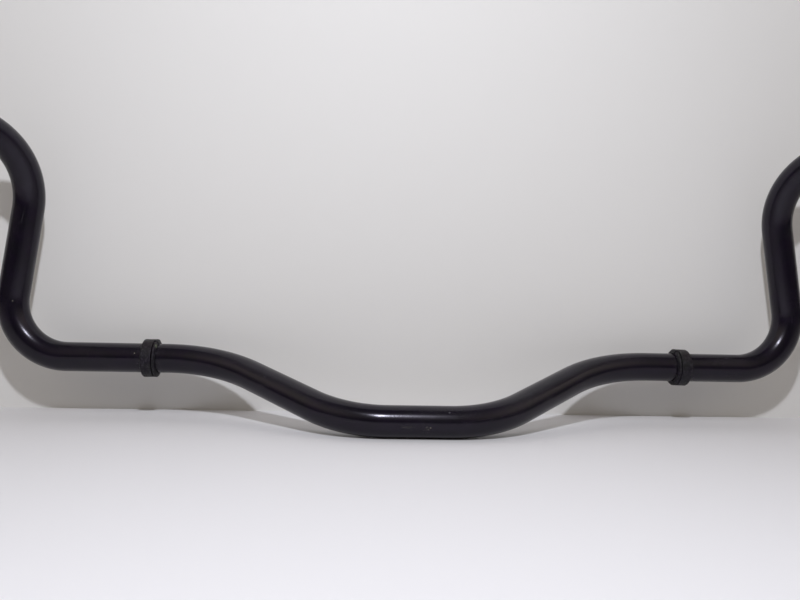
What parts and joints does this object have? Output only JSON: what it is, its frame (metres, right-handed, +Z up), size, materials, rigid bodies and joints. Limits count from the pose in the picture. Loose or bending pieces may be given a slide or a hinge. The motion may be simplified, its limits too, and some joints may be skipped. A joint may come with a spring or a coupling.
{
  "type": "sway bar",
  "caption": "Bent round spring-steel anti-roll bar with a dropped centre, crimped stop collars beside its bushing seats, and forward-kicked arms ending in flat eyes.",
  "frame": {"origin": "middle of the torsion axis, the common centreline of the two bushing seats", "axes": "+X along the torsion axis to the right arm, +Y rearward, away from the side the centre section drops to, +Z up the arms to the eyes"},
  "size_m": [0.9704, 0.1419, 0.4433],
  "materials": {
    "bar_paint": "black paint, satin to semi-gloss, with light handling marks",
    "collar_paint": "black paint, matte and slightly rough"
  },
  "bodies": {
    "root": {"stabilizer_bar": "bar_paint", "left_collar_upper_half": "collar_paint", "left_collar_lower_half": "collar_paint", "right_collar_upper_half": "collar_paint", "right_collar_lower_half": "collar_paint"}
  },
  "joints": []
}
